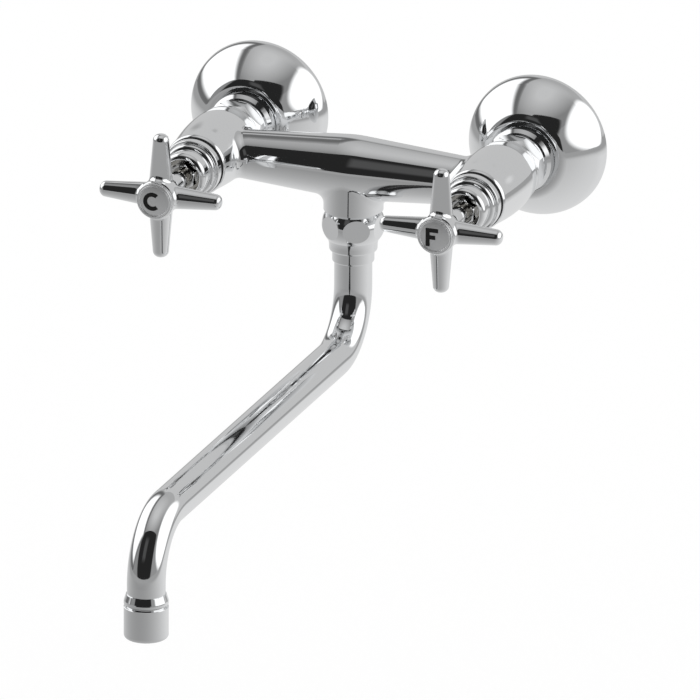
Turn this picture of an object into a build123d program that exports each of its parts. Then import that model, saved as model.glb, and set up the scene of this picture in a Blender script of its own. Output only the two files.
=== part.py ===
from build123d import *
import math
import os

# Wall-mounted two-handle kitchen faucet with a long swivelling spout.
# Millimetres. The origin is on the finished wall, midway between the two supply inlets.
# +X runs to the viewer's right, +Y into the wall and +Z up, so the spout reaches to -Y.
# Round pieces are first drawn as (radius, station) outlines. On a barrel the station is the
# distance out from the wall, and on the spout it is the height over the barrel axes.

# Supply and wall side
CENTRES = 150.0
HALF_CENTRES = CENTRES / 2
OFFSET_DROP = 8.0
BODY_Z = -OFFSET_DROP
G12_RADIUS = 20.955 / 2
G34_RADIUS = 26.441 / 2
THREAD_GAP = 0.04
STUB_DEPTH = 15.0
STUB_BORE = 7.0
UNION_BORE = 10.0
UNION_FRONT = 33.0

# Rosettes. Their outline rises from the wall in three tangent arcs, each given by its radius and
# the angles at which it starts and ends: a round by the wall, a flatter flank and a round lip.
ROSETTE_RADIUS = 36.6
ROSETTE_ARCS = ((16.0, 0.0, 30.0), (52.3, 30.0, 50.0), (6.0, 50.0, 90.0))
ROSETTE_WALL = 1.2
THROAT_DEPTH = 4.4
ROSETTE_BACK = 14.5

# Union nuts
NUT_FLATS = 31.2
NUT_FRONT = 44.9
NUT_GRIP_BACK = 35.2
NUT_NECK_RADIUS = 14.6
NUT_COLLAR_RADIUS = 16.9
NUT_COLLAR_FRONT = 30.0
NUT_COLLAR_BEVEL = 1.65
NUT_BACK = 23.35

# Body casting
BARREL_BACK = 45.6
BARREL_FRONT = 94.3
SWIVEL_OUT = 66.7
BRIDGE_DROP = 0.3
BRIDGE_RADIUS = 16.7
BRIDGE_SLOPE = 0.072
RIDGE_HALF = 5.0
BRIDGE_FILLET = 5.5
BOSS_RADIUS = 15.2
BOSS_BOTTOM = -22.2
BOSS_FILLET = 5.0
SEAT_RIM = 61.0
SEAT_RADIUS = 5.5
CHAMBER_RADIUS = 9.6
WATERWAY = 6.5
SPIGOT_RADIUS = 11.9
SPIGOT_BOTTOM = -32.0
SPIGOT_BORE = 10.0

# Headworks
GUIDE_FLATS = 13.1
SPINDLE_RADIUS = 4.0
FIT = 0.05
GLAND_FLATS = 12.4
BONNET_FRONT = 112.9
BONNET_BACK = 96.5
BONNET_RADIUS = 12.0
BONNET_BORE = 9.3
BONNET_RIM_RADIUS = 15.0

# Cross handles
ARM_STATION = 142.9
ARM_REACH = 32.5
ARM_ROOT_RADIUS = 6.6
ARM_TAPER = 0.086
ARM_END_ROUND = 3.0
HUB_RADIUS = 9.8
ROOT_FILLET = 2.4
STEM_RADIUS = 5.2
STEM_BACK = 119.4
BUTTON_RADIUS = 9.27
BUTTON_BACK = 150.8
BUTTON_EDGE = 152.8
BUTTON_FRONT = 153.4
BUTTON_SINK = 0.5
LETTER_HEIGHT = 9.5
LETTER_STROKE = 2.05
SPINDLE_SQUARE = 5.6

# Spout
TUBE_RADIUS = 9.65
TUBE_WALL = 1.2
BEND_RADIUS = 30.7
RUN_Z = -93.2
OUTLET_OUT = 361.3
SPOUT_NUT_RADIUS = 16.0
SPOUT_NUT_FLATS = 28.85
SPOUT_NUT_TURN = 26.0
COLLAR_TOP = -32.2
COLLAR_BOTTOM = -35.4
TUBE_TOP = -35.5
TUBE_END = -131.0
OUTLET_RADIUS = 11.2
FERRULE_TOP = -128.9
AERATOR_TOP = -135.3
AERATOR_BOTTOM = -152.0

SIDES = {"left": -1, "right": 1}


def turned(*points):
    """A solid of revolution about the Y axis from (radius, station) points."""
    return revolve(make_face(Polyline(*points, close=True)), Axis.Y)


def tube(outer, inner, low, high):
    """A plain ring between two stations."""
    return turned((inner, low), (outer, low), (outer, high), (inner, high))


def rod(radius, low, high):
    """A plain round bar between two stations."""
    return turned((0, low), (radius, low), (radius, high), (0, high))


def prism(flats, sides, low, high, turn=0.0):
    """A bar of regular section along the stations, given across its flats."""
    section = RegularPolygon(flats / 2, sides, major_radius=False, rotation=turn)
    return Pos(0, low, 0) * Rot(-90, 0, 0) * extrude(section, high - low)


def at_barrel(side, solid):
    """Stations become distances out from the wall, on one barrel's axis."""
    return Pos(side * HALF_CENTRES, 0, BODY_Z) * Rot(180, 0, 0) * solid


def at_height(out, solid):
    """Stations become heights over the barrel axes, on a vertical axis."""
    return Pos(0, -out, BODY_Z) * Rot(90, 0, 0) * solid


def save(name, solid):
    """Writes one sub-part to its own file."""
    export_step(solid, f"parts/{name}.step")


def eccentric_union(side):
    """Threaded wall stub with a run-out groove, and a larger thread in front, one offset apart."""
    web_front = 8.0
    stub_bore_front = 5.5
    union_bore_back = 4.0
    web_shoulder = 0.8
    runout = 1.0
    runout_radius = 9.2
    stub = rod(G12_RADIUS, -STUB_DEPTH, -runout) + rod(runout_radius, -runout, 0)
    stub = Pos(0, 0, -OFFSET_DROP) * stub
    front = rod(G34_RADIUS, 0, UNION_FRONT)
    low = Circle(G34_RADIUS)
    high = Pos(0, OFFSET_DROP) * Circle(G12_RADIUS + web_shoulder)
    web = Rot(-90, 0, 0) * extrude(make_hull(low.edges() + high.edges()), web_front)
    stub_bore = Pos(0, 0, -OFFSET_DROP) * rod(STUB_BORE, -STUB_DEPTH, stub_bore_front)
    return at_barrel(side, stub + web + front - stub_bore - rod(UNION_BORE, union_bore_back, UNION_FRONT))


def rosette_arcs(skin):
    """The rosette's outer arcs, drawn one skin further in, and the crest that they end on."""
    radius, station = ROSETTE_RADIUS, 0.0
    arcs = []
    for bend, start, end in ROSETTE_ARCS:
        radius -= bend * math.cos(math.radians(start))
        station -= bend * math.sin(math.radians(start))
        arcs.append(CenterArc((radius, station), bend - skin, start, end - start))
        radius += bend * math.cos(math.radians(end))
        station += bend * math.sin(math.radians(end))
    return arcs, radius, station


def wall_flange(side):
    """Pressed bell rosette: a domed outside, and a lip rolled in to a sleeve on the thread."""
    skin = ROSETTE_WALL
    outside, crest, height = rosette_arcs(0)
    inside = rosette_arcs(skin)[0]
    throat = G34_RADIUS + THREAD_GAP
    reach = crest - throat
    base = height - THROAT_DEPTH
    roll = (crest, base)
    edges = [
        *outside,
        EllipticalCenterArc(roll, reach, THROAT_DEPTH, start_angle=90, arc_size=90),
        Line((throat, base), (throat, ROSETTE_BACK)),
        Line((throat, ROSETTE_BACK), (throat + skin, ROSETTE_BACK)),
        Line((throat + skin, ROSETTE_BACK), (throat + skin, base)),
        EllipticalCenterArc(roll, reach - skin, THROAT_DEPTH - skin, start_angle=90, arc_size=90),
        *inside,
        Line((ROSETTE_RADIUS - skin, 0), (ROSETTE_RADIUS, 0)),
    ]
    return at_barrel(side, revolve(make_face(edges), Axis.Y))


def union_nut(side):
    """Captive nut: an octagonal grip, a neck and a bevelled rear collar."""
    corner = NUT_FLATS / 2 / math.cos(math.radians(22.5))
    rear_bevel = 0.4
    web = 38.1
    envelope = turned(
        (0, NUT_GRIP_BACK),
        (corner - 1.3, NUT_GRIP_BACK),
        (corner, NUT_GRIP_BACK + 1.8),
        (corner, NUT_FRONT - 3.0),
        (corner - 2.3, NUT_FRONT),
        (0, NUT_FRONT),
    )
    grip = prism(NUT_FLATS, 8, NUT_GRIP_BACK, NUT_FRONT, 22.5) & envelope
    neck = rod(NUT_NECK_RADIUS, NUT_COLLAR_FRONT - 1, NUT_GRIP_BACK)
    collar = turned(
        (0, NUT_BACK),
        (NUT_COLLAR_RADIUS - rear_bevel, NUT_BACK),
        (NUT_COLLAR_RADIUS, NUT_BACK + rear_bevel),
        (NUT_COLLAR_RADIUS, NUT_COLLAR_FRONT - NUT_COLLAR_BEVEL),
        (NUT_COLLAR_RADIUS - NUT_COLLAR_BEVEL, NUT_COLLAR_FRONT),
        (0, NUT_COLLAR_FRONT),
    )
    solid = grip + neck + collar
    solid -= rod(G12_RADIUS + 0.25, web, NUT_FRONT)
    solid -= rod(G34_RADIUS + THREAD_GAP, NUT_BACK, web)
    return at_barrel(side, solid)


def inlet_nipple(side):
    """Hollow collared nipple that holds the union nut on the body."""
    collar = rod(12.8, UNION_FRONT + 2.0, 38.0)
    shank = rod(G12_RADIUS, 38.0, 54.0)
    socket = prism(14.0, 6, UNION_FRONT + 2.0, 45.0)
    return at_barrel(side, collar + shank - socket - rod(WATERWAY, 45.0, 54.0))


def union_washer(side):
    """Flat fibre washer between the eccentric union and the nipple."""
    return at_barrel(side, tube(12.8, 8.6, UNION_FRONT, UNION_FRONT + 2.0))


def barrel():
    """One valve barrel's outer form, before the bead is turned at its rear end."""
    nose = (16.05, 92.0)
    shoulder = (15.35, BARREL_FRONT)
    swell = [
        (17.0, BARREL_BACK),
        (17.35, 51.0),
        (18.05, 57.5),
        (18.22, 64.0),
        (17.9, 72.2),
        (17.2, 80.0),
        (16.5, 86.5),
        nose,
    ]
    edges = [
        Line((0, BARREL_BACK), swell[0]),
        Spline(*swell),
        ThreePointArc(nose, (15.85, 93.6), shoulder),
        Line(shoulder, (0, BARREL_FRONT)),
        Line((0, BARREL_FRONT), (0, BARREL_BACK)),
    ]
    return revolve(make_face(edges), Axis.Y)


def rear_bead():
    """The ring of metal turned away round a barrel's rear end to leave a bead."""
    bead_end = BARREL_BACK + 4.6
    rear = BARREL_BACK - 1.0
    clear = 22.0
    bead_back = (16.4, BARREL_BACK)
    bead_front = (16.9, bead_end)
    edges = [
        Line((bead_back[0], rear), bead_back),
        ThreePointArc(bead_back, (17.15, BARREL_BACK + 2.3), bead_front),
        Line(bead_front, (17.3, bead_end + 0.5)),
        Line((17.3, bead_end + 0.5), (clear, bead_end + 0.5)),
        Line((clear, bead_end + 0.5), (clear, rear)),
        Line((clear, rear), (bead_back[0], rear)),
    ]
    return revolve(make_face(edges), Axis.Y)


def bridge():
    """Double-tapered bar between the barrels, thickest at the middle."""
    ridge_radius = BRIDGE_RADIUS - BRIDGE_SLOPE * RIDGE_HALF
    lift = RIDGE_HALF * math.tan(math.atan(BRIDGE_SLOPE) / 2)
    end = BRIDGE_RADIUS - BRIDGE_SLOPE * HALF_CENTRES
    edges = [
        Line((-HALF_CENTRES, 0), (-HALF_CENTRES, end)),
        Line((-HALF_CENTRES, end), (-RIDGE_HALF, ridge_radius)),
        ThreePointArc((-RIDGE_HALF, ridge_radius), (0, ridge_radius + lift), (RIDGE_HALF, ridge_radius)),
        Line((RIDGE_HALF, ridge_radius), (HALF_CENTRES, end)),
        Line((HALF_CENTRES, end), (HALF_CENTRES, 0)),
        Line((HALF_CENTRES, 0), (-HALF_CENTRES, 0)),
    ]
    bar = revolve(make_face(edges), Axis.X)
    return Pos(0, -SWIVEL_OUT, BODY_Z - BRIDGE_DROP) * bar


def body_casting():
    """Two valve barrels, the bridge between them and the spout boss, all hollow."""
    boss = at_height(SWIVEL_OUT, rod(BOSS_RADIUS, BOSS_BOTTOM, 0))
    middle = bridge() + boss
    joint = [
        edge
        for edge in middle.edges()
        if edge.bounding_box().max.Z < BODY_Z + 1
        and edge.bounding_box().min.Z > BODY_Z + BOSS_BOTTOM + 1
        and abs(edge.center().X) < BOSS_RADIUS
        and edge.geom_type != GeomType.LINE
    ]
    middle = fillet(joint, BOSS_FILLET)
    solid = middle
    for side in SIDES.values():
        solid = solid + at_barrel(side, barrel())
    seams = [
        edge
        for edge in solid.edges()
        if 40 < abs(edge.center().X) < HALF_CENTRES - 5
        and edge.bounding_box().size.Z > 10
        and edge.bounding_box().size.Y > 10
    ]
    solid = fillet(seams, BRIDGE_FILLET)
    solid += at_height(SWIVEL_OUT, rod(SPIGOT_RADIUS, SPIGOT_BOTTOM, BOSS_BOTTOM))
    for side in SIDES.values():
        solid -= at_barrel(side, rear_bead())
        solid -= at_barrel(side, barrel_bores())
    passage = Rot(0, 90, 0) * Cylinder(WATERWAY, CENTRES)
    solid -= Pos(0, -SWIVEL_OUT, BODY_Z - BRIDGE_DROP) * passage
    solid -= at_height(SWIVEL_OUT, rod(SPIGOT_BORE, SPIGOT_BOTTOM, -11.0))
    solid -= at_height(SWIVEL_OUT, rod(WATERWAY, -12.0, -1.0))
    return solid


def barrel_bores():
    """Everything bored out of one barrel: inlet, seat, valve chamber and front thread."""
    inlet_end = 55.0
    web_front = 60.0
    bores = rod(G12_RADIUS + THREAD_GAP, BARREL_BACK, inlet_end)
    bores += rod(WATERWAY + 0.5, inlet_end, 57.5)
    bores += rod(SEAT_RADIUS, 57.5, SEAT_RIM)
    bores += tube(CHAMBER_RADIUS, SEAT_RADIUS + 2.0, web_front, SEAT_RIM)
    bores += rod(CHAMBER_RADIUS, SEAT_RIM, 83.0)
    bores += rod(G12_RADIUS + THREAD_GAP, 83.0, BARREL_FRONT)
    return bores


def headwork_body(side):
    """Brass headwork: a hexagonal guide, the body thread, a shoulder and the bonnet thread."""
    solid = rod(9.0, 73.0, 84.0)
    solid += rod(G12_RADIUS, 84.0, BARREL_FRONT + 1.2)
    solid += rod(12.6, BARREL_FRONT + 1.2, 98.0)
    solid += rod(11.0, 98.0, 105.0)
    solid += rod(8.4, 105.0, 107.0)
    solid -= prism(GUIDE_FLATS, 6, 73.0, 90.0)
    solid -= rod(5.0 + FIT, 90.0, 97.0)
    solid -= rod(6.5, 97.0, 107.0)
    return at_barrel(side, solid)


def headwork_washer(side):
    """Fibre washer under the headwork's shoulder."""
    return at_barrel(side, tube(12.4, G12_RADIUS + 0.1, BARREL_FRONT, BARREL_FRONT + 1.2))


def gland_nut(side):
    """Hexagonal packing nut round the spindle."""
    corner = GLAND_FLATS / math.sqrt(3)
    envelope = turned(
        (0, 107.0),
        (corner, 107.0),
        (corner, BONNET_FRONT - 0.6),
        (corner - 1.1, BONNET_FRONT),
        (0, BONNET_FRONT),
    )
    hexagon = prism(GLAND_FLATS, 6, 107.0, BONNET_FRONT, 24.0) & envelope
    hole = SPINDLE_RADIUS + FIT
    floor = BONNET_FRONT - 1.4
    sink = turned((0, floor), (hole, floor), (5.5, BONNET_FRONT), (0, BONNET_FRONT))
    solid = hexagon + rod(6.45, 101.0, 107.0) - rod(hole, 101.0, BONNET_FRONT) - sink
    return at_barrel(side, solid)


def stem_packing(side):
    """Packing ring pressed round the spindle by the gland nut."""
    return at_barrel(side, tube(6.45, SPINDLE_RADIUS + FIT, 99.1, 101.0))


def spindle(side):
    """Spindle: lifting thread, journal, thrust collar, round neck and square end."""
    solid = rod(3.9, 74.5, 90.1)
    solid += rod(5.0, 90.1, 97.05)
    solid += rod(6.3, 97.05, 99.05)
    solid += rod(SPINDLE_RADIUS, 99.05, 121.0)
    solid += prism(SPINDLE_SQUARE, 4, 121.0, 136.0, 45)
    solid -= rod(2.05, 124.0, 136.0)
    return at_barrel(side, solid)


def valve_plunger(side):
    """Hexagonal plunger that the spindle's thread draws off the seat."""
    solid = rod(7.8, 63.0, 67.0)
    solid += prism(GUIDE_FLATS - 2 * FIT, 6, 67.0, 84.0)
    solid -= rod(7.25, 63.0, 64.0)
    solid -= rod(3.95, 69.0, 84.0)
    solid -= rod(1.5, 64.0, 68.0)
    return at_barrel(side, solid)


def valve_washer(side):
    """Rubber seat washer in the plunger's cup."""
    return at_barrel(side, tube(7.2, 1.6, SEAT_RIM + FIT, 64.0))


def washer_screw(side):
    """Flat-headed screw that holds the seat washer."""
    head_front = SEAT_RIM + FIT
    return at_barrel(side, rod(2.8, 59.6, head_front) + rod(1.45, head_front, 67.6))


def bonnet(side):
    """Chromed shroud over the headwork: rim, step, sleeve and rolled-in front lip."""
    front_round = 2.5
    rim_front = 100.4
    edges = [
        Line((13.2, BONNET_BACK), (BONNET_RIM_RADIUS, BONNET_BACK)),
        Line((BONNET_RIM_RADIUS, BONNET_BACK), (BONNET_RIM_RADIUS, rim_front - 0.7)),
        ThreePointArc(
            (BONNET_RIM_RADIUS, rim_front - 0.7),
            (BONNET_RIM_RADIUS - 0.2, rim_front - 0.2),
            (BONNET_RIM_RADIUS - 0.7, rim_front),
        ),
        Line((BONNET_RIM_RADIUS - 0.7, rim_front), (13.9, rim_front)),
        ThreePointArc((13.9, rim_front), (13.7, rim_front + 0.1), (13.6, rim_front + 0.3)),
        Line((13.6, rim_front + 0.3), (13.6, 101.9)),
        ThreePointArc((13.6, 101.9), (13.15, 102.95), (BONNET_RADIUS, 103.5)),
        Line((BONNET_RADIUS, 103.5), (BONNET_RADIUS, BONNET_FRONT - front_round)),
        ThreePointArc(
            (BONNET_RADIUS, BONNET_FRONT - front_round),
            (BONNET_RADIUS - 0.75, BONNET_FRONT - 0.75),
            (BONNET_RADIUS - front_round, BONNET_FRONT),
        ),
        Line((BONNET_RADIUS - front_round, BONNET_FRONT), (BONNET_BORE, BONNET_FRONT)),
        Line((BONNET_BORE, BONNET_FRONT), (BONNET_BORE, 110.6)),
        Line((BONNET_BORE, 110.6), (11.04, 110.6)),
        Line((11.04, 110.6), (11.04, 98.2)),
        Line((11.04, 98.2), (13.2, 98.2)),
        Line((13.2, 98.2), (13.2, BONNET_BACK)),
    ]
    return at_barrel(side, revolve(make_face(edges), Axis.Y))


def bonnet_seal(side):
    """Black rubber ring in the groove between the barrel and the bonnet."""
    section = Pos(13.75, (BARREL_FRONT + BONNET_BACK) / 2) * Circle((BONNET_BACK - BARREL_FRONT) / 2)
    return at_barrel(side, revolve(section, Axis.Y))


def handle_arm():
    """One tapered arm with a rounded end, along +X from the hub's axis."""
    shoulder = ARM_REACH - ARM_END_ROUND
    tip = ARM_ROOT_RADIUS - ARM_TAPER * shoulder
    flat = tip - ARM_END_ROUND
    bulge = (ARM_REACH - 0.85, tip - 1.05)
    edges = [
        Line((0, 0), (0, ARM_ROOT_RADIUS)),
        Line((0, ARM_ROOT_RADIUS), (shoulder, tip)),
        ThreePointArc((shoulder, tip), bulge, (ARM_REACH, flat)),
        Line((ARM_REACH, flat), (ARM_REACH, 0)),
        Line((ARM_REACH, 0), (0, 0)),
    ]
    return Rot(45, 0, 0) * revolve(make_face(edges), Axis.X)


def cross_handle(side):
    """Four-armed handle on a hub that narrows to a stem."""
    edges = [
        Line((0, STEM_BACK), (STEM_RADIUS, STEM_BACK)),
        Line((STEM_RADIUS, STEM_BACK), (STEM_RADIUS, 131.0)),
        Spline((STEM_RADIUS, 131.0), (5.9, 134.0), (8.2, 138.0), (HUB_RADIUS, ARM_STATION)),
        Line((HUB_RADIUS, ARM_STATION), (HUB_RADIUS, BUTTON_BACK)),
        Line((HUB_RADIUS, BUTTON_BACK), (0, BUTTON_BACK)),
        Line((0, BUTTON_BACK), (0, STEM_BACK)),
    ]
    solid = Rot(0, 45, 0) * revolve(make_face(edges), Axis.Y)
    for quarter in range(4):
        solid = solid + Pos(0, ARM_STATION, 0) * Rot(0, 90 * quarter, 0) * handle_arm()
    roots = [
        edge
        for edge in solid.edges()
        if edge.geom_type not in (GeomType.CIRCLE, GeomType.LINE)
        and math.hypot(edge.center().X, edge.center().Z) < HUB_RADIUS + 3
        and abs(abs(edge.center().X) - abs(edge.center().Z)) > 0.5
    ]
    solid = fillet(roots, ROOT_FILLET)
    solid -= prism(SPINDLE_SQUARE + 2 * FIT, 4, 121.0, 136.0, 45)
    solid -= rod(SPINDLE_RADIUS + FIT, STEM_BACK, 121.0)
    solid -= rod(2.3, 136.0, 140.0)
    solid -= rod(5.6, 140.0, BUTTON_BACK)
    solid -= turned(
        (BUTTON_RADIUS, BUTTON_BACK),
        (HUB_RADIUS, BUTTON_BACK - 0.5),
        (HUB_RADIUS + 1, BUTTON_BACK - 0.5),
        (HUB_RADIUS + 1, BUTTON_BACK),
    )
    return at_barrel(side, solid)


def handle_screw(side):
    """Pan-head screw that fixes the handle on the spindle, under the button."""
    solid = rod(4.4, 140.0, 142.8) + rod(2.0, 125.5, 140.0)
    solid -= prism(3.0, 6, 141.0, 142.8)
    return at_barrel(side, solid)


def index_button(side):
    """Snap-in button: a beaded rim round a sunk face, on a round plug."""
    crest = BUTTON_RADIUS - 1.2
    solid = turned(
        (0, BUTTON_BACK),
        (BUTTON_RADIUS, BUTTON_BACK),
        (BUTTON_RADIUS, BUTTON_EDGE),
        (crest, BUTTON_FRONT),
        (crest - 0.5, BUTTON_FRONT),
        (crest - 1.2, BUTTON_FRONT - BUTTON_SINK),
        (0, BUTTON_FRONT - BUTTON_SINK),
    )
    plug = tube(5.55, 4.5, 145.0, BUTTON_BACK)
    return at_barrel(side, solid + plug)


def letter_c():
    """Block letter C as a flat face, placed as it sits on the button."""
    outer = LETTER_HEIGHT / 2
    reach = 2 * outer
    across = reach * math.cos(math.radians(50))
    rise = reach * math.sin(math.radians(50))
    corners = ((0, 0), (across, -rise), (reach, -rise), (reach, rise), (across, rise))
    mouth = make_face(Polyline(*corners, close=True))
    return Pos(-0.95, -0.25) * (Circle(outer) - Circle(outer - LETTER_STROKE) - mouth)


def letter_f():
    """Block letter F as a flat face, placed as it sits on the button."""
    left = -4.6
    top = 4.1
    stem = Pos(left + LETTER_STROKE / 2, top - LETTER_HEIGHT / 2) * Rectangle(LETTER_STROKE, LETTER_HEIGHT)
    upper = Pos(left + 3.3, top - LETTER_STROKE / 2) * Rectangle(6.6, LETTER_STROKE)
    middle = Pos(left + 2.15, -0.7) * Rectangle(4.3, LETTER_STROKE)
    return stem + upper + middle


def index_letter(side, face):
    """A black letter standing a little proud of the button's sunk face."""
    base = BUTTON_FRONT - BUTTON_SINK
    return at_barrel(side, Pos(0, base, 0) * Rot(-90, 0, 0) * extrude(face, 0.25))


def spout_nut():
    """Turned barrel-shaped nut with six flats, a cove and a neck ring below."""
    middle = -30.2
    bulge = 11.8
    centre = SPOUT_NUT_RADIUS - bulge
    top = -22.5
    low = -38.2
    ring = 10.7
    bottom = -49.9
    top_radius = centre + math.sqrt(bulge**2 - (top - middle) ** 2)
    low_radius = centre + math.sqrt(bulge**2 - (low - middle) ** 2)
    outline = [
        ThreePointArc((top_radius, top), (SPOUT_NUT_RADIUS, middle), (low_radius, low)),
        ThreePointArc((low_radius, low), (12.45, -39.7), (12.3, -41.5)),
        Line((12.3, -41.5), (12.25, -42.9)),
        ThreePointArc((12.25, -42.9), (11.85, -43.75), (ring, -44.1)),
        Line((ring, -44.1), (ring, -48.9)),
        ThreePointArc((ring, -48.9), (10.45, -49.6), (9.9, bottom)),
        Line((9.9, bottom), (0, bottom)),
        Line((0, bottom), (0, top)),
        Line((0, top), (top_radius, top)),
    ]
    solid = revolve(make_face(outline), Axis.Y)
    flats = prism(SPOUT_NUT_FLATS, 6, -38.6, top, SPOUT_NUT_TURN)
    solid = (solid & flats) + (solid & rod(30, -51, -38.6))
    solid -= rod(SPIGOT_RADIUS + THREAD_GAP, -36.6, top)
    solid -= rod(TUBE_RADIUS + 0.06, bottom, -36.6)
    return at_height(SWIVEL_OUT, solid)


def spout_connector():
    """Sleeve soldered into the tube, with two ring grooves and a thrust collar."""
    solid = rod(SPIGOT_BORE - FIT, -31.0, -12.5)
    solid += rod(9.0, COLLAR_TOP, -31.0)
    solid += rod(11.5, COLLAR_BOTTOM, COLLAR_TOP)
    solid += rod(TUBE_RADIUS - TUBE_WALL - FIT, -46.0, COLLAR_BOTTOM)
    for groove in (-27.0, -20.0):
        solid -= tube(SPIGOT_BORE, 8.2, groove, groove + 2.4)
    solid -= rod(WATERWAY, -46.0, -12.5)
    return at_height(SWIVEL_OUT, solid)


def spout_o_rings():
    """Two sealing rings in the connector's grooves."""
    rings = []
    for groove in (-27.0, -20.0):
        section = Pos(9.08, groove + 1.2) * Circle(0.86)
        rings.append(at_height(SWIVEL_OUT, revolve(section, Axis.Y)))
    return Compound(children=rings)


def spout_slip_ring():
    """Plastic ring between the connector's collar and the nut's inner shoulder."""
    return at_height(SWIVEL_OUT, tube(11.7, TUBE_RADIUS + 0.1, -36.55, COLLAR_BOTTOM - 0.05))


def spout_tube():
    """Seamless tube: down, forward on a level run and down to the outlet."""
    points = [
        (0, -SWIVEL_OUT, BODY_Z + TUBE_TOP),
        (0, -SWIVEL_OUT, BODY_Z + RUN_Z),
        (0, -OUTLET_OUT, BODY_Z + RUN_Z),
        (0, -OUTLET_OUT, BODY_Z + TUBE_END),
    ]
    path = FilletPolyline(*points, radius=BEND_RADIUS)
    start = Plane(origin=points[0], z_dir=(0, 0, -1))
    outer = sweep(start * Circle(TUBE_RADIUS), path)
    inner = sweep(start * Circle(TUBE_RADIUS - TUBE_WALL), path)
    return outer - inner


def outlet_ferrule():
    """Flared end ring on the tube, with the male thread for the aerator below."""
    solid = turned(
        (0, FERRULE_TOP),
        (10.15, FERRULE_TOP),
        (OUTLET_RADIUS - 0.08, -132.0),
        (OUTLET_RADIUS, -132.5),
        (OUTLET_RADIUS, -133.8),
        (OUTLET_RADIUS - 0.3, -134.1),
        (9.9, -134.1),
        (9.9, -141.0),
        (0, -141.0),
    )
    solid -= rod(TUBE_RADIUS, TUBE_END, FERRULE_TOP)
    solid -= rod(TUBE_RADIUS - TUBE_WALL, -141.0, TUBE_END)
    return at_height(OUTLET_OUT, solid)


def aerator_housing():
    """Round screw-on housing with a rounded lower edge and an inner lip."""
    solid = rod(OUTLET_RADIUS, AERATOR_BOTTOM, AERATOR_TOP)
    rims = solid.edges().filter_by(GeomType.CIRCLE).sort_by(Axis.Y)
    solid = fillet(rims[0], 2.0)
    rims = solid.edges().filter_by(GeomType.CIRCLE).sort_by(Axis.Y)
    solid = chamfer(rims[-1], 0.2)
    solid -= rod(9.94, -150.4, AERATOR_TOP)
    solid -= rod(8.0, AERATOR_BOTTOM, -150.4)
    return at_height(OUTLET_OUT, solid)


def aerator_seal():
    """Flat rubber washer between the ferrule and the insert."""
    return at_height(OUTLET_OUT, tube(9.85, 7.6, -142.4, -141.05))


def aerator_insert():
    """Plastic flow-straightener cup with a grid of round channels."""
    solid = rod(9.85, -144.4, -142.5) + rod(8.9, -150.35, -144.4)
    solid -= rod(7.6, -146.4, -142.5)
    solid -= rod(7.9, -150.35, -148.4)
    channel = Pos(0, -148.4, 0) * Rot(-90, 0, 0) * extrude(Circle(0.9), 2.0)
    spots = HexLocations(1.25, 7, 7)
    channels = [
        Pos(spot.position.X, 0, spot.position.Y) * channel
        for spot in spots
        if math.hypot(spot.position.X, spot.position.Y) < 6.3
    ]
    return at_height(OUTLET_OUT, solid - channels)


def aerator_screen():
    """Perforated stainless disc at the outlet."""
    solid = rod(7.85, -149.7, -149.1)
    hole = Pos(0, -149.7, 0) * Rot(-90, 0, 0) * extrude(Circle(0.55), 0.6)
    holes = [
        Pos(spot.position.X, 0, spot.position.Y) * hole
        for spot in HexLocations(0.95, 9, 9)
        if math.hypot(spot.position.X, spot.position.Y) < 6.7
    ]
    return at_height(OUTLET_OUT, solid - holes)


def main():
    """Builds every sub-part and writes it out."""
    os.makedirs("parts", exist_ok=True)
    paired = [
        eccentric_union,
        wall_flange,
        union_nut,
        inlet_nipple,
        union_washer,
        headwork_body,
        headwork_washer,
        gland_nut,
        stem_packing,
        spindle,
        valve_plunger,
        valve_washer,
        washer_screw,
        bonnet,
        bonnet_seal,
        cross_handle,
        handle_screw,
        index_button,
    ]
    single = [
        body_casting,
        spout_nut,
        spout_connector,
        spout_o_rings,
        spout_slip_ring,
        spout_tube,
        outlet_ferrule,
        aerator_housing,
        aerator_seal,
        aerator_insert,
        aerator_screen,
    ]
    for hand, side in SIDES.items():
        for make in paired:
            save(f"{make.__name__}_{hand}", make(side))
    for make in single:
        save(make.__name__, make())
    save("index_letter_left", index_letter(SIDES["left"], letter_c()))
    save("index_letter_right", index_letter(SIDES["right"], letter_f()))


main()
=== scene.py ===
# %% [markdown]
# # A wall-mounted kitchen faucet
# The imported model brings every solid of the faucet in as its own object. This lesson hangs a studio
# around them, gives them their finishes, and makes the buttons and letters of the handles anew.

# %% Load the faucet
import math

import bmesh
import bpy
from mathutils import Matrix, Vector


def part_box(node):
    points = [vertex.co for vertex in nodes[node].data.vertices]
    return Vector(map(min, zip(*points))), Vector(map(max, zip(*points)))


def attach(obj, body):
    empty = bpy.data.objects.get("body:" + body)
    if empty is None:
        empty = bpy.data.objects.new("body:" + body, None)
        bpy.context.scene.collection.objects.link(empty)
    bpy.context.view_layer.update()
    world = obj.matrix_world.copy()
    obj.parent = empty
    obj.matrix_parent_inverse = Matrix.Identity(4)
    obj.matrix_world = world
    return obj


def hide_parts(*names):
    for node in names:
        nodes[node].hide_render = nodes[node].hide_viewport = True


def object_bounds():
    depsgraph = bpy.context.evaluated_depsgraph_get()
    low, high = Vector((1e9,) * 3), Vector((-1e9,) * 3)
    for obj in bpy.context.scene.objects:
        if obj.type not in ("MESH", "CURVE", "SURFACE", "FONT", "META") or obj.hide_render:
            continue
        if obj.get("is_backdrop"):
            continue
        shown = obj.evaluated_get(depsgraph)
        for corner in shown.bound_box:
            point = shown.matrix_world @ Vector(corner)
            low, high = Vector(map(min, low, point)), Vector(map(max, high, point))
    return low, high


MM = 0.001

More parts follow.
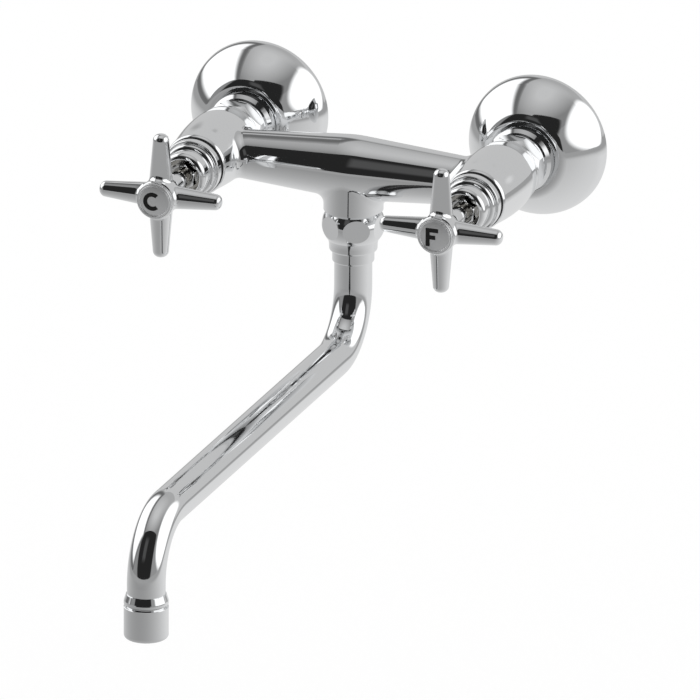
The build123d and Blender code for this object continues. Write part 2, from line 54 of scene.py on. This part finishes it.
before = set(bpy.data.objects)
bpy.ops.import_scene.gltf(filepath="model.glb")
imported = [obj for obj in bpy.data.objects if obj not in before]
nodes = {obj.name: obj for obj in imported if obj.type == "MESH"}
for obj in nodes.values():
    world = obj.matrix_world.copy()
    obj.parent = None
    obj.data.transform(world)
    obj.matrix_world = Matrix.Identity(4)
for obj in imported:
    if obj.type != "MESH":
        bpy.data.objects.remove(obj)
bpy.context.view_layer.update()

# %% [markdown]
# ## Small helpers
# Colours are written as on a screen and turned into the linear values that a shader works with.
# One helper adds a node, sets its sockets and links them, so that a material reads as a short recipe.

# %% Helpers


def linear(colour):
    """Turns a screen colour such as "#c0c0c0" into linear red, green, blue and alpha."""
    channels = [int(colour[i:i + 2], 16) / 255 for i in (1, 3, 5)]
    return [c / 12.92 if c <= 0.04045 else ((c + 0.055) / 1.055) ** 2.4 for c in channels] + [1.0]


def add(tree, kind, sockets=None, **settings):
    """Adds a node. A socket takes a plain value, or the output of another node, which is linked."""
    node = tree.nodes.new("ShaderNode" + kind)
    for name, value in settings.items():
        setattr(node, name, value)
    for name, value in (sockets or {}).items():
        if isinstance(value, bpy.types.NodeSocket):
            tree.links.new(value, node.inputs[name])
        else:
            node.inputs[name].default_value = value
    return node


def new_material(name):
    """An empty node material: returns it with its tree and its output node."""
    material = bpy.data.materials.new(name)
    material.use_nodes = True
    tree = material.node_tree
    tree.nodes.clear()
    return material, tree, add(tree, "OutputMaterial")


print("mid grey in linear light:", round(linear("#808080")[0], 3))

# %% [markdown]
# ## The camera
# A catalogue picture of a tap has hardly any perspective: its near handle is no larger than its far one.
# A very long lens far away gives that flat view. The camera stands 20 degrees to the right of the front
# and looks down by 19 degrees.

# %% Camera
CAMERA_DISTANCE = 14.0
CAMERA_LENS = 1435.8
CAMERA_SENSOR = 36.0
CAMERA_SEES = (1.0, 40.0)
CAMERA_AZIMUTH = math.radians(20.268)
CAMERA_HEIGHT = math.radians(19.439)
CAMERA_ROLL = math.radians(0.2306)
CAMERA_TARGET = Vector((0.03131, -0.15572, -0.07271))

camera_data = bpy.data.cameras.new("Camera")
camera_data.lens = CAMERA_LENS
camera_data.sensor_width = CAMERA_SENSOR
camera_data.clip_start, camera_data.clip_end = CAMERA_SEES
camera = bpy.data.objects.new("Camera", camera_data)
bpy.context.scene.collection.objects.link(camera)
turn = (
    Matrix.Rotation(CAMERA_AZIMUTH, 4, "Z")
    @ Matrix.Rotation(math.pi / 2 - CAMERA_HEIGHT, 4, "X")
    @ Matrix.Rotation(CAMERA_ROLL, 4, "Z")
)
towards_camera = turn.to_3x3() @ Vector((0, 0, 1))
camera.matrix_world = Matrix.Translation(CAMERA_TARGET + CAMERA_DISTANCE * towards_camera) @ turn
bpy.context.scene.camera = camera
bpy.context.scene.view_settings.view_transform = "Standard"
print("camera at", [round(v, 2) for v in camera.location], "lens", camera_data.lens)

# %% [markdown]
# ## Air and floor
# The faucet is shown before white paper. The air is plain white and is the only light. The floor is matt
# white paper, so it takes the faucet's soft shadow.

# %% Air and floor
FLOOR_Z = -0.46
FLOOR_WIDTH = 16

world = bpy.data.worlds.new("studio_air")
bpy.context.scene.world = world
world.use_nodes = True
tree = world.node_tree
tree.nodes.clear()
white_air = add(tree, "Background", {"Color": linear("#ffffff"), "Strength": 1.0}).outputs[0]
add(tree, "OutputWorld", {"Surface": white_air})

bpy.ops.mesh.primitive_plane_add(size=FLOOR_WIDTH, location=(0, 0, FLOOR_Z))
floor = bpy.context.object
floor.name = "studio_floor"
floor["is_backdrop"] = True
floor_paper, tree, output = new_material("floor_paper")
paper = add(tree, "BsdfDiffuse", {"Color": linear("#ffffff")})
tree.links.new(paper.outputs[0], output.inputs["Surface"])
floor.data.materials.append(floor_paper)
print("floor", FLOOR_WIDTH, "m wide at", FLOOR_Z)

# %% [markdown]
# ## Cards
# Chrome has no colour of its own: what it shows is the room. A real studio could be modelled whole, but
# plain cards are enough, because only the reflections see them. They glow a little, cast no shadow and
# light nothing. A card's edge may fade, as the edge of a softbox does.

# %% Card helpers
STUDIO_CENTRE = Vector((0.0, -0.15, -0.05))
ROUND_CARD_SIDES = 64


def card_glow(name, tone, strength=1.0, soft=0.0, corner=0.0, round_card=False):
    """A card's light. Its edge fades over the soft share of its half width, and its corners are rounded."""
    material, tree, output = new_material(name)
    glow = add(tree, "Emission", {"Color": linear(tone), "Strength": strength}).outputs[0]
    if soft:
        where = add(tree, "TexCoord").outputs["Object"]
        if round_card:
            reach = add(tree, "VectorMath", {0: where}, operation="LENGTH").outputs["Value"]
        else:
            size = add(tree, "VectorMath", {0: where}, operation="ABSOLUTE").outputs[0]
            sides = add(tree, "SeparateXYZ", {0: size}).outputs
            either = {0: sides[0], 1: sides[1], 2: corner}
            reach = add(tree, "Math", either, operation="SMOOTH_MAX").outputs[0]
        edge = {"Value": reach, "From Min": 0.5 * (1 - soft), "From Max": 0.5}
        fade = add(tree, "MapRange", edge, interpolation_type="SMOOTHSTEP").outputs[0]
        clear = add(tree, "BsdfTransparent").outputs[0]
        glow = add(tree, "MixShader", {0: fade, 1: glow, 2: clear}).outputs[0]
    tree.links.new(glow, output.inputs["Surface"])
    return material


def hang_card(name, glow, azimuth, height, size, distance, round_card=False):
    """Hangs a card facing the middle. Azimuth runs from the front to the right, in degrees."""
    if round_card:
        bpy.ops.mesh.primitive_circle_add(vertices=ROUND_CARD_SIDES, radius=0.5, fill_type="NGON")
    else:
        bpy.ops.mesh.primitive_plane_add(size=1)
    card = bpy.context.object
    card.name = name
    a, h = math.radians(azimuth), math.radians(height)
    towards = Vector((math.sin(a) * math.cos(h), -math.cos(a) * math.cos(h), math.sin(h)))
    place = Matrix.Translation(STUDIO_CENTRE + distance * towards)
    facing = Matrix.Rotation(a, 4, "Z") @ Matrix.Rotation(math.pi / 2 - h, 4, "X")
    card.matrix_world = place @ facing @ Matrix.Diagonal((size[0], size[1], 1, 1))
    card.visible_camera = False
    card.visible_diffuse = False
    card.visible_shadow = False
    card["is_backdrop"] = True
    card.data.materials.append(glow)
    print(name, "hangs", distance, "m off")


def hang_softbox(name, tone, azimuth, height, wide, high, distance, round_card=False, **glow):
    """Hangs a card by the angles that it fills, in degrees."""
    size = [2 * distance * math.tan(math.radians(angle) / 2) for angle in (wide, high)]
    material = card_glow(name, tone, round_card=round_card, **glow)
    hang_card(name, material, azimuth, height, size, distance, round_card)


print("cards hang round", list(STUDIO_CENTRE))

# %% [markdown]
# ## The room
# The ground and the ceiling fill most of a reflection, so flat tones would look dead. The ground is paler
# towards the daylight behind and dims along the horizon. The ceiling is brightest overhead and dims
# towards its edges. Four grey walls close the room.

# %% Ground and ceiling
ROOM_WIDTH = 14.0
GROUND_DEPTH = 0.40
GROUND_CORE = 0.35
GROUND_DIM = "#989898"
GROUND_BRIGHT = "#e0e0e0"
GROUND_BLEND = (-0.8, 0.6)
DAYLIGHT_AZIMUTH = math.radians(165.0)
HORIZON_TONE = "#a2a2a2"
HORIZON_BLEND = (1.45, 2.3)
CEILING_HEIGHT = 3.6
CEILING_CORE = 1.0
CEILING_TOP = "#cacaca"
CEILING_EDGE = "#868686"
CEILING_BACK = "#b0b0b0"
CEILING_BACK_BLEND = (-0.1, 0.6)
CEILING_BLEND = (0.15, 0.8)


def reach_and_share(tree, azimuth, core):
    """A spot's distance from the middle, and its share: 1 far out towards an azimuth, -1 far opposite."""
    where = add(tree, "TexCoord").outputs["Object"]
    reach = add(tree, "VectorMath", {0: where}, operation="LENGTH").outputs["Value"]
    towards = (math.sin(azimuth), math.cos(azimuth), 0.0)
    along = add(tree, "VectorMath", {0: where, 1: towards}, operation="DOT_PRODUCT").outputs["Value"]
    outer = add(tree, "Math", {0: reach, 1: core / ROOM_WIDTH}, operation="ADD").outputs[0]
    return reach, add(tree, "Math", {0: along, 1: outer}, operation="DIVIDE").outputs[0]


def ground_glow():
    """The ground: paler towards the daylight behind, and dim along the horizon."""
    material, tree, output = new_material("studio_ground")
    reach, share = reach_and_share(tree, DAYLIGHT_AZIMUTH, GROUND_CORE)
    limits = {"Value": share, "From Min": GROUND_BLEND[0], "From Max": GROUND_BLEND[1]}
    lit = add(tree, "MapRange", limits, interpolation_type="LINEAR").outputs[0]
    tones = {"Factor": lit, "A": linear(GROUND_DIM), "B": linear(GROUND_BRIGHT)}
    ground = add(tree, "Mix", tones, data_type="RGBA").outputs["Result"]
    start, end = (radius / ROOM_WIDTH for radius in HORIZON_BLEND)
    limits = {"Value": reach, "From Min": start, "From Max": end}
    far = add(tree, "MapRange", limits, interpolation_type="SMOOTHSTEP").outputs[0]
    tones = {"Factor": far, "A": ground, "B": linear(HORIZON_TONE)}
    colour = add(tree, "Mix", tones, data_type="RGBA").outputs["Result"]
    glow = add(tree, "Emission", {"Color": colour, "Strength": 1.0}).outputs[0]
    tree.links.new(glow, output.inputs["Surface"])
    return material


def ceiling_glow():
    """The ceiling: brightest overhead, dim at its edges, and less so behind."""
    material, tree, output = new_material("studio_ceiling")
    reach, share = reach_and_share(tree, 0.0, CEILING_CORE)
    limits = {"Value": share, "From Min": CEILING_BACK_BLEND[0], "From Max": CEILING_BACK_BLEND[1]}
    behind = add(tree, "MapRange", limits, interpolation_type="SMOOTHSTEP").outputs[0]
    tones = {"Factor": behind, "A": linear(CEILING_EDGE), "B": linear(CEILING_BACK)}
    edge = add(tree, "Mix", tones, data_type="RGBA").outputs["Result"]
    start, end = (ratio * CEILING_HEIGHT / ROOM_WIDTH for ratio in CEILING_BLEND)
    limits = {"Value": reach, "From Min": start, "From Max": end}
    outward = add(tree, "MapRange", limits, interpolation_type="LINEAR").outputs[0]
    tones = {"Factor": outward, "A": linear(CEILING_TOP), "B": edge}
    colour = add(tree, "Mix", tones, data_type="RGBA").outputs["Result"]
    glow = add(tree, "Emission", {"Color": colour, "Strength": 1.0}).outputs[0]
    tree.links.new(glow, output.inputs["Surface"])
    return material


room_size = (ROOM_WIDTH, ROOM_WIDTH)
hang_card("ground", ground_glow(), 0, -90, room_size, GROUND_DEPTH)
hang_card("ceiling", ceiling_glow(), 0, 90, room_size, CEILING_HEIGHT)

# %% Walls
WALL_SIZE = (ROOM_WIDTH, 10.0)
WALL_DISTANCE = 4.4
WALLS = {
    "wall_behind": ("#c8c8c8", 180),
    "wall_left": ("#8e8e8e", -90),
    "wall_right": ("#969696", 90),
    "wall_front": ("#8c8c8c", 0),
}
for name, (tone, azimuth) in WALLS.items():
    hang_card(name, card_glow(name, tone), azimuth, 0, WALL_SIZE, WALL_DISTANCE)

# %% [markdown]
# ## The opening and the softboxes
# A dark opening in front draws the black bands that make chrome look like chrome. A lighter curtain hangs
# in it. A softbox on each side draws the white bands, and the left one has a dim frame round it.

# %% Opening and softboxes
SOFTBOX_STRENGTH = 1.25

hang_softbox(
    "dark_opening", "#262626", azimuth=2, height=28, wide=90, high=80, distance=3.4, soft=0.16, corner=0.3
)
hang_softbox(
    "lighter_curtain", "#505050", azimuth=-7, height=34, wide=24, high=40, distance=3.3, soft=0.6, corner=0.15
)
hang_softbox(
    "frame_left", "#6c6c6c", azimuth=-103, height=28, wide=90, high=74, distance=3.3, soft=0.2, corner=0.05
)
hang_softbox(
    "softbox_left", "#ffffff", azimuth=-101, height=28, wide=76, high=58, distance=3.2,
    strength=SOFTBOX_STRENGTH, soft=0.3, corner=0.075,
)
hang_softbox(
    "softbox_right", "#ffffff", azimuth=102, height=21.5, wide=82, high=67, distance=3.2,
    strength=SOFTBOX_STRENGTH, soft=0.26, round_card=True,
)

# %% [markdown]
# ## Finishes
# No surface is perfectly even. Two things vary in each finish: its roughness wanders a little, in clouds
# some millimetres wide, and its skin has a fine grain. One recipe makes them all, from sizes in
# millimetres. A metal tints what it reflects, and a plastic or a rubber shows its own colour.

# %% The recipe
METAL_CLOUDS_MM = 11.11
SOFT_CLOUDS_MM = 3.333
CLOUD_DETAIL = 4.0
FINISHES = {}


def coat(name, colour, metallic, roughness, wander, grain_mm, grain_depth_mm, threads=None):
    """A finish from its colour, its least roughness and how far that wanders, and its grain in mm."""
    material, tree, output = new_material(name)
    where = add(tree, "TexCoord").outputs["Object"]
    clouds_mm = METAL_CLOUDS_MM if metallic else SOFT_CLOUDS_MM
    clouds = {"Vector": where, "Scale": 1 / (clouds_mm * MM), "Detail": CLOUD_DETAIL}
    clouds = add(tree, "TexNoise", clouds).outputs["Fac"]
    limits = {"Value": clouds, "To Min": roughness, "To Max": roughness + wander}
    rough = add(tree, "MapRange", limits).outputs[0]
    grain = {"Vector": where, "Scale": 1 / (grain_mm * MM), "Detail": 2.0 if metallic else 3.0}
    grain = add(tree, "TexNoise", grain).outputs["Fac"]
    skin = {"Height": grain, "Strength": 1.0, "Distance": grain_depth_mm * MM}
    skin = add(tree, "Bump", skin).outputs[0]
    if threads:
        skin = threads(tree, where, skin)
    look = {"Base Color": linear(colour), "Metallic": metallic, "Roughness": rough, "Normal": skin}
    shader = add(tree, "BsdfPrincipled", look).outputs[0]
    tree.links.new(shader, output.inputs["Surface"])
    return material


print("roughness clouds in mm:", METAL_CLOUDS_MM, SOFT_CLOUDS_MM)

# %% [markdown]
# ### Chrome plate
# The outside of the faucet is polished brass, nickelled and flashed with chrome: a mirror with a trace of
# blue, and with a faint waviness some millimetres wide that polishing leaves. The buttons are blasted
# before plating, so they scatter what they mirror into one even grey.

# %% Chrome
FINISHES["chrome"] = coat("bright_chrome_plate", "#f0f1f2", 1.0, 0.03, 0.03, 6.0, 0.0004)
FINISHES["satin_chrome"] = coat("satin_chrome_plate", "#f4f5f6", 1.0, 0.34, 0.06, 0.5, 0.0012)
print("chrome finishes:", sorted(FINISHES))

# %% [markdown]
# ### Threads of the wall unions
# A union has pipe threads in front and behind, both with 14 turns to the inch. They are nearly hidden by
# the rosettes, so their flanks are a zigzag in the finish, along the axis, instead of a modelled helix.

# %% Threads
THREAD_PITCH_MM = 25.4 / 14
THREADED_LENGTHS_MM = ((-33.0, -8.0), (1.0, 15.0))
FLANK_SLOPE = 0.8


def union_threads(tree, where, skin):
    """Adds the thread flanks of a union to its skin, over its two threaded lengths."""
    along = add(tree, "SeparateXYZ", {0: where}).outputs["Y"]
    flank = add(tree, "Math", {0: along, 1: THREAD_PITCH_MM * MM / 2}, operation="PINGPONG").outputs[0]
    for front_mm, back_mm in THREADED_LENGTHS_MM:
        middle, half = (front_mm + back_mm) * MM / 2, (back_mm - front_mm) * MM / 2
        inside = add(tree, "Math", {0: along, 1: middle, 2: half}, operation="COMPARE").outputs[0]
        height = add(tree, "Math", {0: flank, 1: inside}, operation="MULTIPLY").outputs[0]
        flanks = {"Height": height, "Strength": 1.0, "Distance": FLANK_SLOPE, "Normal": skin}
        skin = add(tree, "Bump", flanks).outputs[0]
    return skin


threaded_chrome = coat(
    "threaded_chrome_plate", "#f0f1f2", 1.0, 0.1, 0.08, 0.8, 0.001, threads=union_threads
)
print("thread pitch in mm:", round(THREAD_PITCH_MM, 3))

# %% [markdown]
# ### Plain metals
# The spindles and headworks are nickelled, a warmer mirror than chrome. The hidden fittings are bare
# turned brass with fine tool marks. The handle screws and the outlet screen are blasted stainless steel,
# which looks soft and grey.

# %% Plain metals
FINISHES["nickel"] = coat("nickel_plate_on_brass", "#c9c7c2", 1.0, 0.06, 0.04, 3.0, 0.0006)
FINISHES["brass"] = coat("turned_brass", "#d8b25e", 1.0, 0.22, 0.12, 0.6, 0.003)
FINISHES["stainless"] = coat("blasted_stainless_steel", "#bdbcb8", 1.0, 0.28, 0.1, 0.8, 0.003)
print("finishes so far:", len(FINISHES))

# %% [markdown]
# ### Rubber, fibre, plastic and enamel
# The seals are moulded rubber with a dull skin. The flat washers of the unions and headworks are pressed
# red fibre, the roughest of all. The stem packings, the slip ring and the aerator's insert are moulded
# plastic with a faint sheen. The letters are black enamel with little shine, so they stay black in any
# light.

# %% Rubber, fibre, plastic and enamel
FINISHES["black_rubber"] = coat("moulded_black_rubber", "#141414", 0.0, 0.5, 0.15, 0.4, 0.004)
FINISHES["red_fibre"] = coat("pressed_red_fibre", "#8c2f1e", 0.0, 0.75, 0.15, 0.3, 0.01)
FINISHES["white_plastic"] = coat("moulded_white_plastic", "#e6e4dc", 0.0, 0.35, 0.1, 0.6, 0.002)
FINISHES["grey_plastic"] = coat("moulded_grey_plastic", "#8d9093", 0.0, 0.35, 0.1, 0.6, 0.002)
FINISHES["black_enamel"] = coat("stoved_black_enamel", "#060606", 0.0, 0.55, 0.1, 0.8, 0.002)
print("finishes:", sorted(FINISHES))

# %% [markdown]
# ### Coating the solids
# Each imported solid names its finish. Only the unions get another one, with their threads.

# %% Coat the solids
for name, node in nodes.items():
    slot = node.data.materials[0].name.split(".")[0]
    node.data.materials[0] = FINISHES[slot]
    if name.startswith("eccentric_union"):
        node.data.materials[0] = threaded_chrome
print("coated:", len(nodes))

# %% [markdown]
# ## Tools of the bench
# New pieces are shaped as by hand: a primitive is set down at its size and place, and edit mode does the
# rest. Everything is deselected first, because an operator works on all that is selected. Edges are
# picked by their place. At the end a piece is merged, turned the right way out and placed in its mesh.

# %% Modelling helpers
MERGE_DISTANCE = 0.01 * MM
SMOOTH_BELOW = math.radians(28)


def pick_edges(part, test):
    """Selects the edges whose middle passes the test, and no others."""
    bpy.ops.mesh.select_mode(type="EDGE")
    bpy.ops.mesh.select_all(action="DESELECT")
    mesh = bmesh.from_edit_mesh(part.data)
    for edge in mesh.edges:
        edge.select_set(test((edge.verts[0].co + edge.verts[1].co) / 2))
    bmesh.update_edit_mesh(part.data)


def finish_piece(part, name, slot, body, replaced):
    """Closes a modelled piece: merged, facing outwards, placed in its mesh and riding on its body."""
    bpy.ops.mesh.select_all(action="SELECT")
    bpy.ops.mesh.remove_doubles(threshold=MERGE_DISTANCE)
    bpy.ops.mesh.normals_make_consistent(inside=False)
    bpy.ops.object.mode_set(mode="OBJECT")
    bpy.ops.object.transform_apply(location=True, rotation=True, scale=True)
    bpy.ops.object.shade_smooth_by_angle(angle=SMOOTH_BELOW)
    part.name = name
    part.data.name = name
    part.data.materials.clear()
    part.data.materials.append(FINISHES[slot])
    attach(part, body)
    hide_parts(replaced)
    print(name, "faces:", len(part.data.polygons), "size in mm:", [round(v / MM, 2) for v in part.dimensions])


print("doubles are merged within", MERGE_DISTANCE, "m")

# %% [markdown]
# ## The index buttons
# Each handle is capped by a snap-in button. It is turned from bar: a fine bead runs round the sunk face,
# and three narrow grooves in its wall give a finger nail something to lift it by. A lathe's spin operator
# could make it, but drawing a circle out along the axis, ring by ring, follows the tool more closely.
# A station is a distance in front of the wall, in millimetres.

# %% Index button sizes
BUTTON_RADIUS = 9.27
BUTTON_SIDES = 96
BUTTON_BACK = 150.8
BUTTON_FRONT = 153.4
PLUG_RADIUS = 5.55
PLUG_CHAMFER = 0.3
PLUG_BORE = 4.5
PLUG_BACK = 145.0
PLUG_BORE_FRONT = BUTTON_BACK + 0.6
GROOVE_DEPTH = 0.22
GROOVE_HALF_MOUTH = 0.17
GROOVE_HALF_FLOOR = 0.05
GROOVE_STATIONS = (151.25, 151.8, 152.35)
SHOULDER_ROUND = ((0.0, 152.75), (0.16, 152.97), (0.42, 153.04))
BEAD_RADIUS = 0.42
BEAD_RING = 8.1
BEAD_STEPS = 8
FACE_RADIUS = 7.35
FACE_STATION = 152.9
FACE_GUTTER = (0.12, 0.05)


def button_outline():
    """Radius and station of each ring of the button, from its plug's bore round to its sunk face."""
    rings = [(PLUG_BORE, PLUG_BORE_FRONT), (PLUG_BORE, PLUG_BACK), (PLUG_RADIUS - PLUG_CHAMFER, PLUG_BACK)]
    rings += [(PLUG_RADIUS, PLUG_BACK + PLUG_CHAMFER), (PLUG_RADIUS, BUTTON_BACK), (BUTTON_RADIUS, BUTTON_BACK)]
    floor_radius = BUTTON_RADIUS - GROOVE_DEPTH
    for station in GROOVE_STATIONS:
        rings += [(BUTTON_RADIUS, station - GROOVE_HALF_MOUTH), (floor_radius, station - GROOVE_HALF_FLOOR)]
        rings += [(floor_radius, station + GROOVE_HALF_FLOOR), (BUTTON_RADIUS, station + GROOVE_HALF_MOUTH)]
    rings += [(BUTTON_RADIUS - inset, station) for inset, station in SHOULDER_ROUND]
    bead_station = BUTTON_FRONT - BEAD_RADIUS
    for step in range(BEAD_STEPS + 1):
        a = math.pi * step / BEAD_STEPS
        rings.append((BEAD_RING + BEAD_RADIUS * math.cos(a), bead_station + BEAD_RADIUS * math.sin(a)))
    inset, depth = FACE_GUTTER
    rings += [(BEAD_RING - BEAD_RADIUS - inset, FACE_STATION - depth), (FACE_RADIUS, FACE_STATION)]
    return rings


print("rings in a button's outline:", len(button_outline()))

# %% Index buttons
TOUCHING = MM / 1000
valve_axis = {}
for side in ("left", "right"):
    low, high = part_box("index_button_" + side)
    valve_axis[side] = ((low.x + high.x) / 2, (low.z + high.z) / 2)


def turned_piece(axis, rings, sides):
    """Draws a circle out through the given rings along a valve's axis, and closes both ends."""
    stops = [Vector((axis[0], -station * MM, axis[1])) for radius, station in rings]
    radii = [radius * MM for radius, station in rings]
    bpy.ops.object.select_all(action="DESELECT")
    bpy.ops.mesh.primitive_circle_add(
        vertices=sides, radius=radii[0], location=stops[0], rotation=(math.pi / 2, 0, 0)
    )
    part = bpy.context.object
    bpy.ops.object.mode_set(mode="EDIT")
    bpy.ops.mesh.select_mode(type="EDGE")
    bpy.ops.mesh.select_all(action="SELECT")
    for i in range(1, len(rings)):
        bpy.ops.mesh.extrude_region_move(TRANSFORM_OT_translate={"value": stops[i] - stops[i - 1]})
        k = radii[i] / radii[i - 1]
        bpy.ops.transform.resize(value=(k, 1, k), center_override=stops[i])
    bpy.ops.mesh.edge_face_add()
    first = stops[0]
    pick_edges(part, lambda spot: abs(spot.y - first.y) < TOUCHING and (spot - first).length < radii[0])
    bpy.ops.mesh.edge_face_add()
    return part


for side in ("left", "right"):
    button = turned_piece(valve_axis[side], button_outline(), BUTTON_SIDES)
    finish_piece(
        button, "turned_index_button_" + side, "satin_chrome", "handle_" + side, "index_button_" + side
    )

# %% [markdown]
# ## The letters
# The letters are black enamel and stand a hair proud of the face. They could be made from a font, but
# two shapes are quicker by hand, and come out in the right weight. The C is a bar's end that the spin
# operator sweeps round. The F is an upright from which two bars are drawn out.

# %% Letter C
LETTER_STROKE = 2.05 * MM
LETTER_RADIUS = 4.75 * MM
LETTER_MOUTH = math.radians(50)
LETTER_STEPS = 44


def letter_c(name):
    """A bar's end spun round into a C."""
    low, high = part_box(name)
    depth = high.y - low.y
    centre = Vector((low.x + LETTER_RADIUS, (low.y + high.y) / 2, (low.z + high.z) / 2))
    reach = LETTER_RADIUS - LETTER_STROKE / 2
    start = centre + Vector((reach * math.cos(LETTER_MOUTH), 0, reach * math.sin(LETTER_MOUTH)))
    bpy.ops.object.select_all(action="DESELECT")
    bpy.ops.mesh.primitive_plane_add(size=1, location=start, rotation=(0, -LETTER_MOUTH, 0))
    part = bpy.context.object
    part.scale = (LETTER_STROKE, depth, 1)
    bpy.ops.object.transform_apply(location=True, rotation=True, scale=True)
    bpy.ops.object.mode_set(mode="EDIT")
    bpy.ops.mesh.select_all(action="SELECT")
    sweep = 2 * math.pi - 2 * LETTER_MOUTH
    bpy.ops.mesh.spin(steps=LETTER_STEPS, angle=sweep, center=centre, axis=(0, 1, 0))
    return part


finish_piece(
    letter_c("index_letter_left"), "enamel_letter_left", "black_enamel", "handle_left", "index_letter_left"
)

# %% Letter F
LOWER_BAR_HEIGHT = 0.5
LOWER_BAR_REACH = 0.66


def letter_f(name):
    """An upright with two bars drawn out of its side."""
    low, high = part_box(name)
    depth = high.y - low.y
    tall = high.z - low.z
    middle = Vector((low.x + LETTER_STROKE / 2, high.y, (low.z + high.z) / 2))
    bpy.ops.object.select_all(action="DESELECT")
    bpy.ops.mesh.primitive_plane_add(size=1, location=middle, rotation=(math.pi / 2, 0, 0))
    part = bpy.context.object
    part.scale = (LETTER_STROKE, tall, 1)
    bpy.ops.object.transform_apply(location=True, rotation=True, scale=True)
    bpy.ops.object.mode_set(mode="EDIT")
    half = LETTER_STROKE / 2
    top_bar, lower_bar = high.z - half, high.z - LOWER_BAR_HEIGHT * tall
    for cut in (top_bar - half, lower_bar + half, lower_bar - half):
        bpy.ops.mesh.select_all(action="SELECT")
        bpy.ops.mesh.bisect(plane_co=(0, 0, cut), plane_no=(0, 0, 1))
    side_x = low.x + LETTER_STROKE
    for bar, share in ((top_bar, 1.0), (lower_bar, LOWER_BAR_REACH)):
        pick_edges(part, lambda spot: abs(spot.x - side_x) < TOUCHING and abs(spot.z - bar) < half / 5)
        reach = share * (high.x - side_x)
        bpy.ops.mesh.extrude_region_move(TRANSFORM_OT_translate={"value": (reach, 0, 0)})
    bpy.ops.mesh.select_all(action="SELECT")
    bpy.ops.mesh.extrude_region_move(TRANSFORM_OT_translate={"value": (0, -depth, 0)})
    return part


finish_piece(
    letter_f("index_letter_right"), "enamel_letter_right", "black_enamel", "handle_right", "index_letter_right"
)

# %% Finish
low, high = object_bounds()
